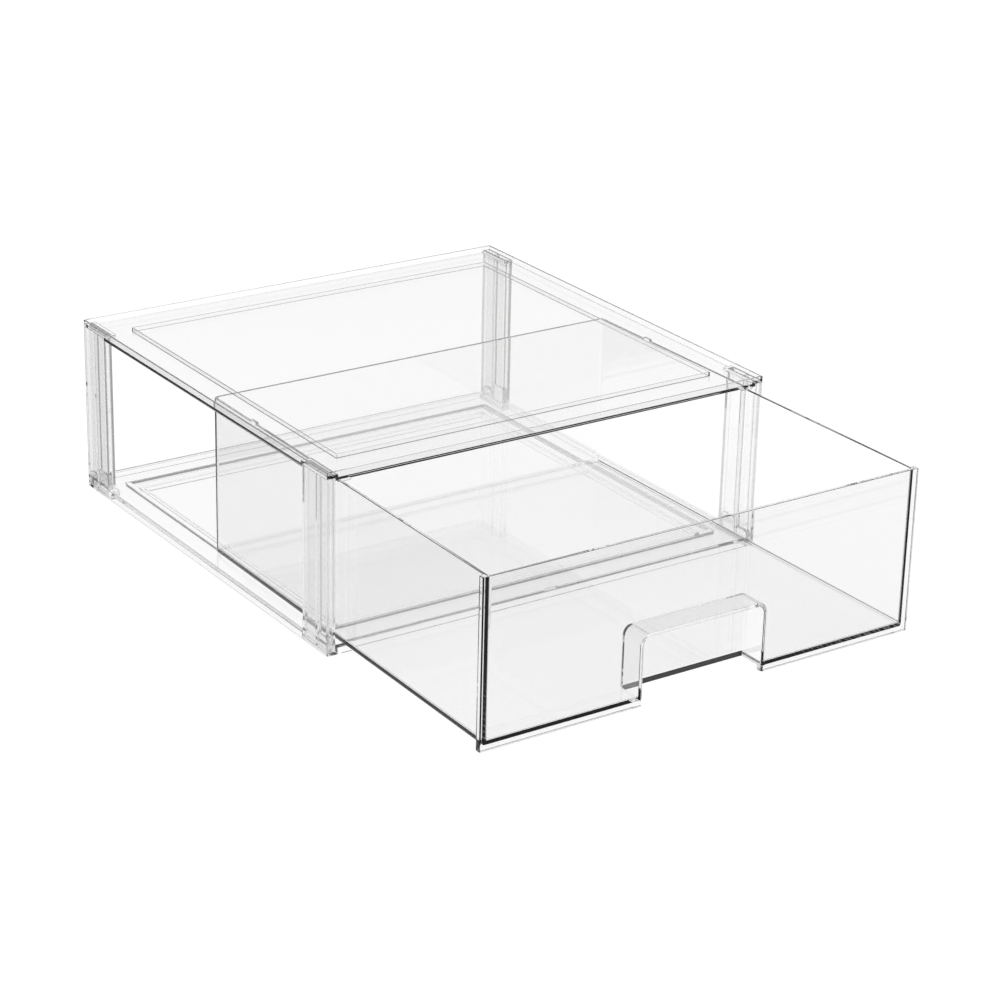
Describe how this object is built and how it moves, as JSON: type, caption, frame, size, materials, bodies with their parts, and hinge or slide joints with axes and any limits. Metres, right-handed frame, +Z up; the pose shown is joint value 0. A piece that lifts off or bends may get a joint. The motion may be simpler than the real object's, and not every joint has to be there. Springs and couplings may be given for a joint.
{
  "type": "stackable drawer box",
  "caption": "Clear plastic drawer box: an open-sided frame on corner posts holds a sliding drawer with a finger recess, and the rimmed top lets boxes stack.",
  "frame": {"origin": "middle of the frame's footprint, on the surface that the box stands on (the foot ring's lower face)", "axes": "+X to the right across the front, +Y to the back, +Z up; the drawer pulls out towards -Y"},
  "size_m": [0.3, 0.4378, 0.1118],
  "materials": {
    "clear_panel": "clear, colourless and glossy, as moulded polystyrene",
    "clear_post": "clear, colourless and glossy, as moulded polystyrene",
    "clear_drawer": "clear, colourless and glossy, as moulded polystyrene"
  },
  "bodies": {
    "frame": {"top_panel": "clear_panel", "base_panel": "clear_panel", "post_front_left": "clear_post", "post_front_right": "clear_post", "post_back_left": "clear_post", "post_back_right": "clear_post"},
    "drawer": {"drawer": "clear_drawer"}
  },
  "joints": [
    {"name": "drawer_slide", "type": "slide", "parent": "frame", "child": "drawer", "axis": [0, -1, 0], "range_m": [-0.141, 0.094]}
  ]
}
